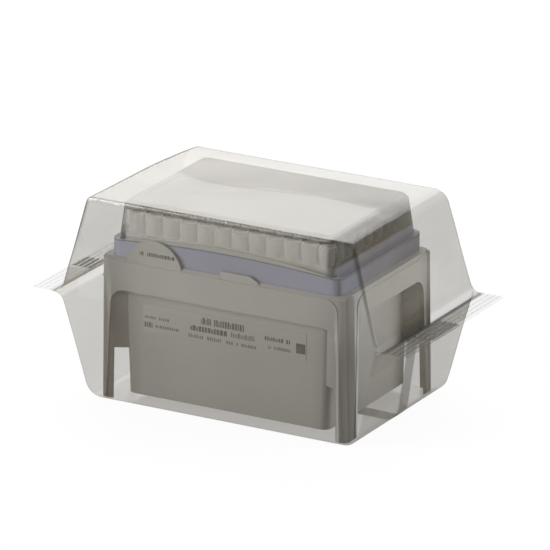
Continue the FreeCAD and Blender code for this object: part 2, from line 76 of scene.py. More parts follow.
# short ways to add nodes to one material
class Nodes:
    def __init__(self, name):
        self.material = bpy.data.materials.new(name)
        self.material.use_nodes = True
        self.tree = self.material.node_tree
        self.shader = self.tree.nodes["Principled BSDF"]

    def add(self, kind, **inputs):
        node = self.tree.nodes.new(kind)
        for key, value in inputs.items():
            self.feed(node, key.replace("_", " "), value)
        return node

    def feed(self, node, socket, value):
        if isinstance(value, bpy.types.NodeSocket):
            self.tree.links.new(value, node.inputs[socket])
        elif isinstance(value, tuple) and len(value) == 3 and node.inputs[socket].type == "RGBA":
            node.inputs[socket].default_value = (*value, 1)
        else:
            node.inputs[socket].default_value = value

    def maths(self, operation, *values):
        node = self.tree.nodes.new("ShaderNodeMath")
        node.operation = operation
        for index, value in enumerate(values):
            self.feed(node, index, value)
        return node.outputs[0]

    # the product of two or more values
    def times(self, product, *others):
        for other in others:
            product = self.maths("MULTIPLY", product, other)
        return product

    def minus(self, first, second):
        return self.maths("SUBTRACT", first, second)

    def vector(self, operation, *values):
        node = self.tree.nodes.new("ShaderNodeVectorMath")
        node.operation = operation
        for index, value in enumerate(values):
            self.feed(node, index, value)
        return node.outputs[0]

    def axes(self):
        place = self.add("ShaderNodeTexCoord").outputs["Object"]
        self.place = self.vector("MULTIPLY", place, (1 / mm,) * 3)
        parts = self.add("ShaderNodeSeparateXYZ", Vector=self.place)
        return parts.outputs["X"], parts.outputs["Y"], parts.outputs["Z"]

    def size(self, value):
        return self.maths("ABSOLUTE", value)

    def noise(self, scale, detail=3.0, roughness=0.55):
        node = self.add("ShaderNodeTexNoise", Scale=scale, Detail=detail, Roughness=roughness)
        self.feed(node, "Vector", self.place)
        return node.outputs["Fac"]

    def remap(self, value, low, high, toLow=0.0, toHigh=1.0):
        node = self.tree.nodes.new("ShaderNodeMapRange")
        for index, item in enumerate((value, low, high, toLow, toHigh)):
            self.feed(node, index, item)
        return node.outputs["Result"]

    # from one value to another as the share goes from 0 to 1
    def fade(self, share, start, end):
        return self.remap(share, 0.0, 1.0, start, end)

    # 1 between low and high, with soft edges
    def window(self, value, low, high, soft):
        up = self.remap(value, low - soft, low)
        down = self.remap(value, high, high + soft, 1.0, 0.0)
        return self.times(up, down)

    # smooth line through (input, output) points
    def curve(self, value, points):
        node = self.tree.nodes.new("ShaderNodeFloatCurve")
        line = node.mapping.curves[0]
        lowIn, highIn = points[0][0], points[-1][0]
        lowOut, highOut = min(y for x, y in points), max(y for x, y in points)
        while len(line.points) < len(points):
            line.points.new(0.5, 0.5)
        for point, (x, y) in zip(line.points, points):
            point.location = ((x - lowIn) / (highIn - lowIn), (y - lowOut) / (highOut - lowOut))
        node.mapping.update()
        self.feed(node, "Value", self.remap(value, lowIn, highIn))
        return self.remap(node.outputs[0], 0.0, 1.0, lowOut, highOut)

    def mix(self, factor, first, second):
        node = self.tree.nodes.new("ShaderNodeMix")
        node.data_type = "RGBA"
        self.feed(node, 0, factor)
        self.feed(node, 6, first)
        self.feed(node, 7, second)
        return node.outputs[2]

    def shaded(self, colour, share):
        return self.vector("MULTIPLY", colour, share)

    def bump(self, height, strength, distance):
        node = self.add("ShaderNodeBump", Strength=strength, Distance=distance * mm, Height=height)
        self.feed(self.shader, "Normal", node.outputs["Normal"])

    def set(self, **values):
        for key, value in values.items():
            self.feed(self.shader, key.replace("_", " "), value)


# alpha of a see-through wall: `clear` passes square on, and less where it is seen edge on
def thinLayer(nodes, clear, edge=1.0, least=0.2):
    facing = nodes.add("ShaderNodeLayerWeight", Blend=0.5).outputs["Facing"]
    cosine = nodes.maths("MAXIMUM", nodes.minus(1.0, facing), least)
    passed = nodes.maths("POWER", clear, nodes.maths("POWER", cosine, -edge))
    return nodes.minus(1.0, passed)


film = {
    # divisions of the cube that becomes the wrap, and of each seal
    "steps": 48,
    "finSteps": 32,
    # the end seals: their height over the floor and how far they stand out
    "sealZ": 49.2,
    "finReach": 15.6,
    # half the length and half the depth at the top, at the seals and at the bottom
    "topHalf": (69.0, 44.2),
    "sealHalf": (82.4, 46.7),
    "bottomHalf": (69.7, 43.1),
    # the round between top and end slopes, in front and at the back
    "endRound": (2.4, 6.1),
    # the round of the long edges
    "foldRound": 1.2,
    # the end slopes flare out into the seals: the radius, and how far it reaches out and up
    "flareRound": 6.0,
    "flareOut": 4.55,
    "flareRise": 4.368,
    # ridges pressed into the seals, with a plain strip outside them
    "crimpCount": 4,
    "crimpPitch": 2.6,
    "crimpHeight": 0.45,
    "crimpMargin": 0.9,
    # an uneven surface, which sets in over a way from the bottom and from the seals
    "wrinkle": 0.25,
    "wrinkleFade": (12, 10),
    "wrinkleScale": (0.035, 0.05, 0.05),
    "wrinkleShift": (3.1, 7.7, 1.9),
    "fineScale": (0.11, 0.09, 0.13),
    "fineShare": 0.35,
    # how far one top corner is pulled in by the wrapping
    "cornerPull": 3.6,
    # the upright folds in front: width at the top and at the seals, where it changes,
    # how they fade out at the top and at the seals, and their soft edge
    "foldWidth": (1.3, 1.0),
    "foldChange": (1 / 3, 2 / 3),
    "foldFade": (1 / 12, 1 / 2.4),
    "foldLeast": 0.5,
    "foldSoft": (1.4, 0.4),
    "foldColour": (0.03, 0.03, 0.03),
    "foldClear": 0.3,
    "foldRough": 0.5,
    # how much light passes square on: towards -X and +X, on the top likewise, and low down
    "clear": (0.81, 0.78),
    "topClear": (0.73, 0.85),
    "lowClear": 0.785,
    "clearX": (-70.0, 70.0),
    # measured from the film's top
    "topZ": (-4.0, -1.0),
    # at the seals, where the low part begins
    "lowZ": (-0.3, 0.3),
    "colour": (0.264, 0.222, 0.144),
    "hazeShade": 0.8,
    # painted shade: how much of the colour is left on the +X slope
    "rightPaintedShading": 0.55,
    "rightX": (40.0, 74.0),
    "roughness": (0.09, 0.16),
    "ior": 2.2,
    "gloss": 0.5,
    # the share of a fold or of the turn at which the gloss is gone
    "glossEnd": 0.2,
    # where the slopes turn out into the seals, measured from the end of the slopes
    "turnX": (-0.6, 0.4),
    "turnClear": 0.905,
    # a less clear strip of the +X slope right under the seal: how deep in and how far down
    "underIn": (1.2, 0.8),
    "underZ": (-12.5, -0.4),
    "underClear": 0.82,
    # a tucked corner of the -X slope over the seal: where it ends, and its slant
    "tuckX": (-72.0, -74.0),
    "tuckEnd": -7.0,
    "tuckSlant": 0.33,
    "tuckClear": 0.9,
    # the dark end of the long seam over the +X seal, and its share of a fold
    "flapX": (79.0, 80.0),
    "flapY": (-20.0, -4.0),
    "flapZ": (0.2, 3.6),
    "flapShare": 0.42,
    # the seals at -X and at +X, and what is left on a ridge
    "sealClear": (0.99, 0.981),
    "ridgeClear": 0.985,
    "sealColour": (0.085, 0.08, 0.072),
    "sealRoughness": 0.3,
    "sealIor": 1.3,
    # where the cosine along the ridges begins and ends to be a ridge
    "ridgeSpan": (0.3, -0.6),
    # the long seam passes through the seals: its middle, half its width, and how clear it is
    # between the ridges and on them
    "doubleAt": (-5.2, -8.5),
    "doubleHalf": (6.2, 12.0),
    "doubleClear": (0.97, 0.9),
    "doubleRidgeClear": (0.66, 0.3),
    # in front of the long seam on the +X seal
    "frontClear": 0.94,
}
filmHeight = inMm("film_wrap")[1].z


# 0 to 1 between low and high
def ramp(value, low, high):
    return min(max((value - low) / (high - low), 0), 1)


# -1 to 1, closer together at both ends
def spread(step, count):
    return -math.cos(math.pi * step / count)


# 0 at the seals, 1 at the top
def upperShare(z):
    return (z - film["sealZ"]) / (filmHeight - film["sealZ"])


# rows close together at the bottom, at the seals and at the top
def filmRowHeight(step):
    half = film["steps"] // 2
    if step <= half:
        return film["sealZ"] * (spread(step, half) + 1) / 2
    rise = filmHeight - film["sealZ"]
    return film["sealZ"] + rise * (spread(step - half, half) + 1) / 2


# half the film's length (axis 0) or depth (axis 1) at a height
def filmHalf(z, axis):
    seal = film["sealHalf"][axis]
    if z > film["sealZ"]:
        return seal + (film["topHalf"][axis] - seal) * upperShare(z)
    share = 1 - z / film["sealZ"]
    return seal + (film["bottomHalf"][axis] - seal) * share


# half the length, with the end slopes flaring out into the seals
def filmHalfLength(z):
    fromSeal = abs(z - film["sealZ"])
    half = filmHalf(z, 0)
    if fromSeal >= film["flareRise"]:
        return half
    radius = film["flareRound"]
    centre = film["sealHalf"][0] + film["flareOut"]
    flare = centre - math.sqrt(max(radius**2 - (radius - fromSeal) ** 2, 0))
    return max(half, flare)


# two distances in from two faces that meet, moved so that the edge is round
def roundTogether(first, second, radius):
    if first >= radius or second >= radius:
        return first, second
    a = (radius - first) / radius
    b = (radius - second) / radius
    scale = max(a, b) / math.hypot(a, b)
    return radius - radius * a * scale, radius - radius * b * scale


# from the evenly divided cube to the film's shape
def filmPlace(co):
    steps = film["steps"]
    counts = [round((value + 1) / 2 * steps) for value in co]
    x, y = (spread(count, steps) for count in counts[:2])
    z = filmRowHeight(counts[2]) / filmHeight * 2 - 1
    # the long edges, where front and back meet the ends, top and bottom
    inside = 1 - max(abs(x), abs(z))
    size = film["topHalf"][0] if abs(x) > abs(z) else filmHeight / 2
    depth = film["topHalf"][1]
    newInside, newY = roundTogether(inside * size, (1 - abs(y)) * depth, film["foldRound"])
    shrink = (1 - newInside / size) / max(1 - inside, 1e-6)
    x *= shrink
    z *= shrink
    y = math.copysign(1 - newY / depth, y)
    # where top and bottom turn into the end slopes
    length = film["topHalf"][0]
    front, back = film["endRound"]
    radius = front + (back - front) * (y + 1) / 2 if z > 0 else back
    fromEnd, fromTop = roundTogether((1 - abs(x)) * length, (1 - abs(z)) * filmHeight / 2, radius)
    x = math.copysign(1 - fromEnd / length, x)
    z = math.copysign(1 - fromTop / (filmHeight / 2), z)
    height = (z + 1) / 2 * filmHeight
    return Vector((x * filmHalfLength(height), y * filmHalf(height, 1), height))


# how far the seal stands off its middle plane at a distance out from the end slopes
def crimpAt(reach):
    start = film["finReach"] - film["crimpMargin"] - film["crimpCount"] * film["crimpPitch"]
    along = (reach - start) / film["crimpPitch"]
    if along < 0 or along > film["crimpCount"]:
        return 0
    return film["crimpHeight"] * (1 - abs(2 * (along % 1) - 1))


# noise with its own scale along each axis
def noiseAt(co, scale, shift=(0, 0, 0)):
    return noise.noise(Vector([part * each for part, each in zip(co, scale)]) + Vector(shift))


# a soft uneven shift, none at the bottom and at the seals
def wrinkled(co):
    fromBottom, fromSeal = film["wrinkleFade"]
    far = min(abs(co.z - film["sealZ"]) / fromSeal, 1) * min(co.z / fromBottom, 1)
    wave = noiseAt(co, film["wrinkleScale"], film["wrinkleShift"])
    fine = noiseAt(co, film["fineScale"])
    return film["wrinkle"] * far * (wave + film["fineShare"] * fine)


# 1 on the upper upright folds between the front and the ends, 0 elsewhere
def foldAt(co):
    share = upperShare(co.z)
    if share < 0 or co.y > 0:
        return 0
    full, narrow = film["foldWidth"]
    width = narrow + (full - narrow) * ramp(share, *film["foldChange"])
    topFade, lowFade = film["foldFade"]
    least = film["foldLeast"]
    faded = ramp(1 - share, 0, topFade) * (least + (1 - least) * ramp(share, 0, lowFade))
    away = filmHalfLength(co.z) - abs(co.x) + filmHalf(co.z, 1) - abs(co.y)
    return faded * ramp(away / width, *film["foldSoft"])


def cornerPull(co):
    share = max(-co.x / film["topHalf"][0], 0) * max(co.y / film["topHalf"][1], 0)
    rise = max(upperShare(co.z), 0)
    return Vector((film["cornerPull"] * share**3 * rise**2, 0, 0))


# draws one end's row of faces at the seals out into the flat seal with its ridges
def drawSeal(bm, end):
    slopeEnd = film["sealHalf"][0]
    rowGap = film["sealZ"] - filmRowHeight(film["steps"] // 2 - 1)
    strip = []
    for face in bm.faces:
        middle = face.calc_center_median()
        if abs(middle.z - film["sealZ"]) < rowGap and middle.x * end > slopeEnd:
            strip.append(face)
    root = max(vert.co.x * end for face in strip for vert in face.verts)
    step = (slopeEnd + film["finReach"] - root) / film["finSteps"]
    for count in range(film["finSteps"]):
        made = bmesh.ops.extrude_face_region(bm, geom=strip)["geom"]
        strip = [item for item in made if isinstance(item, bmesh.types.BMFace)]
        x = root + (count + 1) * step
        for item in made:
            if isinstance(item, bmesh.types.BMVert):
                item.co.x = end * x
                item.co.z += crimpAt(x - slopeEnd) - crimpAt(x - step - slopeEnd)


def filmMesh():
    bm = bmesh.new()
    bmesh.ops.create_cube(bm, size=2)
    bmesh.ops.subdivide_edges(bm, edges=bm.edges, cuts=film["steps"] - 1, use_grid_fill=True)
    fold = bm.verts.layers.float.new("fold")
    for vert in bm.verts:
        vert.co = filmPlace(vert.co)
        vert[fold] = foldAt(vert.co)
        vert.co += cornerPull(vert.co)
    bm.normal_update()
    shifts = [vert.normal * wrinkled(vert.co) for vert in bm.verts]
    for vert, shift in zip(bm.verts, shifts):
        vert.co += shift
    for end in (-1, 1):
        drawSeal(bm, end)
    for face in bm.faces:
        if abs(face.calc_center_median().x) > film["sealHalf"][0] + film["flareOut"]:
            face.material_index = 1
    return bm


def filmMaterial(name, clear, lowClear, colour):
    nodes = Nodes(name)
    x, y, z = nodes.axes()
    above = nodes.minus(z, film["sealZ"])
    haze = nodes.noise(scale=0.02, detail=2.0)
    fold = nodes.add("ShaderNodeAttribute")
    fold.attribute_name = "fold"
    flap = nodes.times(
        nodes.remap(x, *film["flapX"], 0.0, film["flapShare"]),
        nodes.window(y, *film["flapY"], soft=0.4),
        nodes.window(above, *film["flapZ"], soft=0.3),
    )
    dark = nodes.maths("MAXIMUM", fold.outputs["Fac"], flap)
    # how clear: the slopes, the top and the low part, then what lies doubled or turned
    onTop = nodes.remap(nodes.minus(z, filmHeight), *film["topZ"])
    topClear = nodes.remap(x, *film["clearX"], *film["topClear"])
    upperClear = nodes.fade(onTop, nodes.remap(x, *film["clearX"], *clear), topClear)
    clear = nodes.remap(above, *film["lowZ"], lowClear, upperClear)
    leanIn = (film["sealHalf"][0] - film["bottomHalf"][0]) / film["sealZ"]
    inFromEnd = nodes.maths("ADD", nodes.minus(film["sealHalf"][0], x), nodes.times(above, leanIn))
    under = nodes.times(
        nodes.remap(inFromEnd, *film["underIn"]), nodes.window(above, *film["underZ"], soft=0.5)
    )
    tuckTop = nodes.times(nodes.minus(film["tuckEnd"], y), film["tuckSlant"])
    tuck = nodes.times(
        nodes.remap(x, *film["tuckX"]),
        nodes.remap(above, 0.1, 0.4),
        nodes.remap(nodes.minus(tuckTop, above), 0.0, 0.4),
    )
    clear = nodes.times(
        clear,
        nodes.fade(dark, 1.0, film["foldClear"]),
        nodes.fade(under, 1.0, film["underClear"]),
        nodes.fade(tuck, 1.0, film["tuckClear"]),
    )
    atTurn = nodes.remap(nodes.minus(nodes.size(x), film["sealHalf"][0]), *film["turnX"])
    clear = nodes.fade(atTurn, clear, film["turnClear"])
    tone = nodes.mix(haze, colour, scaled(colour, film["hazeShade"]))
    # painted shade: the film's colour fades towards +X
    tone = nodes.shaded(tone, nodes.remap(x, *film["rightX"], 1.0, film["rightPaintedShading"]))
    rough = nodes.remap(haze, *noiseRange, *film["roughness"])
    dull = nodes.maths("MAXIMUM", dark, atTurn)
    nodes.set(
        Base_Color=nodes.mix(dark, tone, film["foldColour"]),
        Roughness=nodes.maths("ADD", rough, nodes.times(dark, film["foldRough"])),
        Specular_IOR_Level=nodes.remap(dull, 0.0, film["glossEnd"], film["gloss"], 0.0),
        IOR=film["ior"],
        Alpha=thinLayer(nodes, clear, edge=1.0, least=0.3),
    )
    nodes.bump(nodes.noise(scale=0.06, detail=3.0), strength=0.22, distance=1.2)
    return nodes.material


# the pressed seals: clearer than the rest, denser on each ridge and in the long seam
def sealMaterial():
    nodes = Nodes("filmSeal")
    x, y, _ = nodes.axes()
    crimpEnd = film["sealHalf"][0] + film["finReach"] - film["crimpMargin"]
    along = nodes.minus(crimpEnd, nodes.size(x))
    wave = nodes.maths("COSINE", nodes.times(along, math.tau / film["crimpPitch"]))
    pressed = nodes.window(along, 0.0, film["crimpCount"] * film["crimpPitch"], soft=0.2)
    ridge = nodes.times(nodes.remap(wave, *film["ridgeSpan"]), pressed)
    onRight = nodes.maths("GREATER_THAN", x, 0.0)
    fromSeam = nodes.minus(y, nodes.fade(onRight, *film["doubleAt"]))
    pastSeam = nodes.minus(nodes.size(fromSeam), nodes.fade(onRight, *film["doubleHalf"]))
    doubled = nodes.remap(pastSeam, 0.6, 0.0)
    inFront = nodes.times(onRight, nodes.remap(fromSeam, 0.0, -1.0))
    plain = nodes.fade(inFront, nodes.fade(onRight, *film["sealClear"]), film["frontClear"])
    single = nodes.fade(ridge, plain, nodes.times(plain, film["ridgeClear"]))
    onRidge = nodes.fade(onRight, *film["doubleRidgeClear"])
    double = nodes.fade(ridge, nodes.fade(onRight, *film["doubleClear"]), onRidge)
    nodes.set(
        Base_Color=film["sealColour"],
        Roughness=film["sealRoughness"],
        IOR=film["sealIor"],
        Alpha=thinLayer(nodes, nodes.fade(doubled, single, double)),
    )
    return nodes.material


filmSheet = filmMaterial("clearFilm", film["clear"], film["lowClear"], film["colour"])
filmPiece = newPiece("filmWrap", filmMesh(), (filmSheet, sealMaterial()), smoothAngle=50)
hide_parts("film_wrap")

seam = {
    "width": 9.0,
    # its middle at the seals, at -X and at +X, how it leans from there, and under the box
    "middle": {-1: -5.2, 1: -11.5},
    "lean": 0.24,
    "underMiddle": 0.5,
    "underX": 60,
    # divisions down a slope, round its lower edge, and across
    "rows": 24,
    "turns": 8,
    "across": 4,
    # how far below the seals it begins, and how far over the round edge the slope ends
    "drop": 2.5,
    "overCorner": 2,
    # off the film on the slopes and round the edge, and over the floor
    "standOff": 0.3,
    "edgeOff": 0.25,
    "floorGap": 0.08,
    "clear": 0.68,
    "colour": (0.19, 0.165, 0.125),
}


# the long seam: a folded strip down one end slope, under the bottom and up the other
def seamMesh():
    top = film["sealZ"] - seam["drop"]
    corner = film["endRound"][1]
    side = []
    for step in range(seam["rows"] + 1):
        z = top - step * (top - corner - seam["overCorner"]) / seam["rows"]
        side.append((filmHalfLength(z) + seam["standOff"], z))
    for step in range(1, seam["turns"] + 1):
        turn = math.pi / 2 * step / seam["turns"]
        z = corner - (corner - seam["floorGap"]) * math.sin(turn)
        x = filmHalf(z, 0) - corner * (1 - math.cos(turn))
        side.append((x + seam["edgeOff"] * math.cos(turn), z))
    path = side + [(-x, z) for x, z in reversed(side)]
    bm = bmesh.new()
    bmesh.ops.create_grid(bm, x_segments=len(path) - 1, y_segments=seam["across"], size=1)
    for vert in bm.verts:
        x, z = path[round((vert.co.x + 1) / 2 * (len(path) - 1))]
        middle = seam["middle"][1 if x > 0 else -1] + seam["lean"] * (film["sealZ"] - z)
        reach = min(abs(x) / seam["underX"], 1)
        middle = seam["underMiddle"] * (1 - reach) + middle * reach
        vert.co = Vector((x, middle + vert.co.y * seam["width"] / 2, z))
    return bm


seamSheet = filmMaterial("seamFilm", (seam["clear"],) * 2, seam["clear"], seam["colour"])
newPiece("filmSeam", seamMesh(), (seamSheet,), smoothAngle=60)
print("film done", len(filmPiece.data.polygons))

tips = {
    "sides": 12,
    "rows": 8,
    "columns": 12,
    # the collar's radius at its foot and at its top, its height and its thin foot
    "collarRadius": (3.95, 4.15),
    "collar": 8.9,
    "collarFoot": 0.05,
    "boreRadius": 3.1,
    "neckRadius": 3.05,
    "pointRadius": 0.85,
    "pointBore": 0.4,
    "colour": (0.97, 0.955, 0.91),
    "speckShade": 0.92,
    "roughness": 0.45,
    "alpha": 0.88,
    # darker in the shade of the lid's end walls: the end columns, in front and at the back,
    "endX": (48.5, 52.0),
    "endY": (-24.0, 26.0),
    "endShade": (0.46, 0.30),
    # and what shows between them
    "gapX": (28.0, 36.0),
    "gapY": (28.0, 26.6),
    "gapShade": 0.02,
    # painted shade on the rims, measured from the top
    "rimZ": (-0.4, -0.2),
    "rimShade": 0.55,
    # the side away from the light: its direction, where it sets in and how dark it is
    "awayX": 0.87,
    "awayY": 0.49,
    "awaySpan": (0.6, 0.85),
    "awayShade": 0.15,
    # how far each normal is turned up, as the milky plastic spreads the light
    "soften": 3.2,
}
filters = {
    "depth": 12.6,
    "length": 8.0,
    "gap": 0.05,
    "colours": ((0.86, 0.86, 0.83), (0.72, 0.72, 0.69)),
    "roughness": 0.85,
}
firstLow, firstHigh = inMm("tips_column_01")
lastLow, lastHigh = inMm("tips_column_12")
firstMiddle = (firstLow.x + firstHigh.x) / 2
tipPitch = ((lastLow.x + lastHigh.x) / 2 - firstMiddle) / (tips["columns"] - 1)
tipLow = firstLow.z
tipTop = firstHigh.z


# rings through (radius, z), joined by their sides
def turned(stations):
    bm = bmesh.new()
    rings = []
    for radius, z in stations:
        made = bmesh.ops.create_circle(bm, segments=tips["sides"], radius=radius)["verts"]
        bmesh.ops.translate(bm, vec=(0, 0, z), verts=made)
        rings.append({edge for vert in made for edge in vert.link_edges})
    for lower, upper in zip(rings, rings[1:]):
        bmesh.ops.bridge_loops(bm, edges=list(lower | upper))
    return bm


# a column's rows of one turned form
def columnOf(bm, middle, pitch):
    source = list(bm.verts) + list(bm.edges) + list(bm.faces)
    start = -pitch * (tips["rows"] - 1) / 2
    bmesh.ops.translate(bm, vec=(middle, start, 0), verts=bm.verts)
    for row in range(1, tips["rows"]):
        made = bmesh.ops.duplicate(bm, geom=source)["geom"]
        verts = [item for item in made if isinstance(item, bmesh.types.BMVert)]
        bmesh.ops.translate(bm, vec=(0, row * pitch, 0), verts=verts)
    return bm


# the bore's radius, which narrows to the point
def boreAt(z):
    share = (z - tipLow) / (tipTop - tipLow)
    return tips["pointBore"] + (tips["boreRadius"] - tips["pointBore"]) * share


def tipMaterial():
    nodes = Nodes("tipPlastic")
    x, y, z = nodes.axes()
    acrossX = nodes.size(x)
    speck = nodes.noise(scale=0.4, detail=3.0)
    tone = nodes.mix(speck, tips["colour"], scaled(tips["colour"], tips["speckShade"]))
    onEnd = nodes.remap(acrossX, *tips["endX"])
    between = nodes.times(
        nodes.remap(acrossX, *tips["gapX"]), nodes.remap(nodes.size(y), *tips["gapY"])
    )
    endShade = nodes.fade(onEnd, tips["gapShade"], nodes.remap(y, *tips["endY"], *tips["endShade"]))
    shade = nodes.fade(nodes.maths("MAXIMUM", between, onEnd), 1.0, endShade)
    # painted shade on the rims
    rim = nodes.remap(nodes.minus(z, tipTop), *tips["rimZ"], 1.0, tips["rimShade"])
    normal = nodes.add("ShaderNodeNewGeometry").outputs["Normal"]
    parts = nodes.add("ShaderNodeSeparateXYZ", Vector=normal).outputs
    away = nodes.maths(
        "ADD", nodes.times(parts["X"], tips["awayX"]), nodes.times(parts["Y"], tips["awayY"])
    )
    away = nodes.remap(away, *tips["awaySpan"], 1.0, tips["awayShade"])
    turnedUp = nodes.vector("ADD", normal, (0.0, 0.0, tips["soften"]))
    nodes.set(
        Base_Color=nodes.shaded(tone, nodes.times(shade, rim, away)),
        Roughness=tips["roughness"],
        Alpha=tips["alpha"],
        Normal=nodes.vector("NORMALIZE", turnedUp),
    )
    return nodes.material


def filterMaterial():
    nodes = Nodes("filterPlastic")
    nodes.axes()
    pores = nodes.noise(scale=3.0, detail=4.0, roughness=0.7)
    nodes.set(
        Base_Color=nodes.mix(pores, *filters["colours"]), Roughness=filters["roughness"]
    )
    nodes.bump(pores, strength=0.5, distance=0.2)
    return nodes.material


deck = tipTop - tips["collar"]
plugTop = tipTop - filters["depth"]
plugLow = plugTop - filters["length"]
tipStations = [
    (tips["pointRadius"], tipLow),
    (tips["neckRadius"], deck),
    (tips["collarRadius"][0], deck + tips["collarFoot"]),
    (tips["collarRadius"][1], tipTop),
    (tips["boreRadius"], tipTop),
    (tips["pointBore"], tipLow),
]
plugStations = [(boreAt(z) - filters["gap"], z) for z in (plugLow, plugTop)]
tipPlastic = tipMaterial()
filterPlastic = filterMaterial()
for column in range(tips["columns"]):
    number = f"{column + 1:02d}"
    middle = firstMiddle + column * tipPitch
    tipColumn = columnOf(turned(tipStations), middle, tipPitch)
    piece = newPiece("tipsColumn" + number, tipColumn, (tipPlastic,))
    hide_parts("tips_column_" + number)
    plug = turned(plugStations)
    bmesh.ops.holes_fill(plug, edges=plug.edges)
    plugColumn = columnOf(plug, middle, tipPitch)
    piece = newPiece("filtersColumn" + number, plugColumn, (filterPlastic,))
    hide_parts("filters_column_" + number)
print("tips done")


# gives a node of the CAD model its material
def dress(node, material):
    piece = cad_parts[node]
    piece.data.materials.clear()
    piece.data.materials.append(material)


base = {
    "colours": ((0.33, 0.323, 0.306), (0.298, 0.291, 0.275)),
    "roughness": (0.38, 0.5),
    # painted shade towards the upright corners, at -X and at +X
    "sidesX": (-55.0, 55.0),
    "cornerX": (44.0, 60.0),
    "cornerY": (22.0, 38.0),
    "cornerShade": (0.70, 0.84),
    # painted shade on the legs, at -X and at +X
    "legZ": (62.0, 40.0),
    "legShade": (0.60, 0.77),
    # painted shade on the -X part of the front
    "leftX": (-56.0, -24.0),
    "leftShade": 0.76,
    # painted shade on the ends of the back legs
    "backX": (61.5, 62.5),
    "backY": (31.0, 33.0),
    "backShade": 0.1,
    # painted light on the upper part of the +X end
    "rightX": (38.0, 46.0),
    "rightY": (32.0, 27.0),
    "rightZ": (14.0, 34.0),
    "rightPaintedShading": 1.15,
    # painted light on the skirt above the arches
    "skirtZ": (48.0, 56.0),
    "skirtPaintedLight": 1.08,
    # painted shade in an upright stripe on the ends, wider low down on the back leg
    "stripeX": (62.0, 63.2),
    "stripeY": (34.8, 39.4),
    "backStripeY": (31.0, 39.4),
    "stripeShade": 0.56,
    # a painted highlight along the arches' edges on the ends and in front, below the skirt
    "lowZ": (64.0, 50.0),
    "endEdgeX": (62.6, 63.6),
    "endEdgeY": (31.4, 33.8),
    "frontEdgeX": (58.4, 60.2),
    "frontEdgeY": (40.0, 40.8),
    "edgeHighlight": 1.8,
}


def baseMaterial():
    nodes = Nodes("basePlastic")
    x, y, z = nodes.axes()
    acrossX, acrossY = nodes.size(x), nodes.size(y)
    cloud = nodes.noise(scale=0.03, detail=3.0)
    grain = nodes.noise(scale=4.0, detail=2.0)
    lowDown = nodes.remap(z, *base["lowZ"])
    nearCorner = nodes.times(
        nodes.remap(acrossX, *base["cornerX"]), nodes.remap(acrossY, *base["cornerY"])
    )
    onLeg = nodes.times(nearCorner, nodes.remap(z, *base["legZ"]))
    atBack = nodes.times(
        onLeg, nodes.remap(y, *base["backY"]), nodes.remap(acrossX, *base["backX"])
    )
    onRight = nodes.times(
        nodes.remap(x, *base["rightX"]),
        nodes.remap(z, *base["rightZ"]),
        nodes.remap(acrossY, *base["rightY"]),
    )
    stripe = nodes.window(acrossY, *base["stripeY"], soft=0.6)
    backStripe = nodes.times(nodes.window(y, *base["backStripeY"], soft=0.8), lowDown)
    stripe = nodes.times(
        nodes.remap(acrossX, *base["stripeX"]), nodes.maths("MAXIMUM", stripe, backStripe)
    )
    endEdge = nodes.times(
        nodes.remap(acrossX, *base["endEdgeX"]), nodes.window(acrossY, *base["endEdgeY"], soft=0.4)
    )
    frontEdge = nodes.times(
        nodes.window(acrossX, *base["frontEdgeX"], soft=0.5),
        nodes.remap(acrossY, *base["frontEdgeY"]),
    )
    onEdge = nodes.times(nodes.maths("MAXIMUM", endEdge, frontEdge), lowDown)
    cornerShade = nodes.remap(x, *base["sidesX"], *base["cornerShade"])
    legShade = nodes.remap(x, *base["sidesX"], *base["legShade"])
    # painted shade on the corners, the legs, the -X front, the back legs' ends and a stripe on the
    # ends; painted light on the +X end, the skirt and the arches' edges
    shade = nodes.times(
        nodes.fade(nearCorner, 1.0, cornerShade),
        nodes.fade(onLeg, 1.0, legShade),
        nodes.remap(z, *base["skirtZ"], 1.0, base["skirtPaintedLight"]),
        nodes.remap(x, *base["leftX"], base["leftShade"], 1.0),
        nodes.fade(onRight, 1.0, base["rightPaintedShading"]),
        nodes.fade(atBack, 1.0, base["backShade"]),
        nodes.fade(stripe, 1.0, base["stripeShade"]),
        nodes.fade(onEdge, 1.0, base["edgeHighlight"]),
    )
    nodes.set(
        Base_Color=nodes.shaded(nodes.mix(cloud, *base["colours"]), shade),
        Roughness=nodes.remap(grain, *noiseRange, *base["roughness"]),
    )
    nodes.bump(grain, strength=0.2, distance=0.08)
    return nodes.material


dress("base", baseMaterial())

tray = {
    "colours": ((0.215, 0.22, 0.305), (0.235, 0.247, 0.325)),
    "roughness": 0.45,
    # painted light over the rim, which arches up in the middle: its height there, and how it falls
    # with x squared
    "archZ": 79.3,
    "archFall": 0.00079,
    "overRim": (0.30, 0.31, 0.295),
    "rimLine": (0.11, 0.11, 0.13),
    "rimLineZ": (-0.35, 0.1),
    "deckY": (35.9, 35.6),
    "deck": (0.5, 0.5, 0.48),
    # these are measured in from the tray's end and side: where the part over the rim stops,
    "rimEnd": (7.0, 9.0),
    # painted shade on the end walls, in front and at the back,
    "endIn": (4.0, 1.0),
    "endY": (-36.0, 36.0),
    "endShade": (0.60, 0.35),
    # and the corners
    "cornerIn": ((2.0, 1.4), (2.4, 1.6)),
    "cornerColour": (0.12, 0.12, 0.13),
    # painted light towards +X
    "rightX": (20.0, 56.0),
    "rightPaintedShading": 1.17,
}


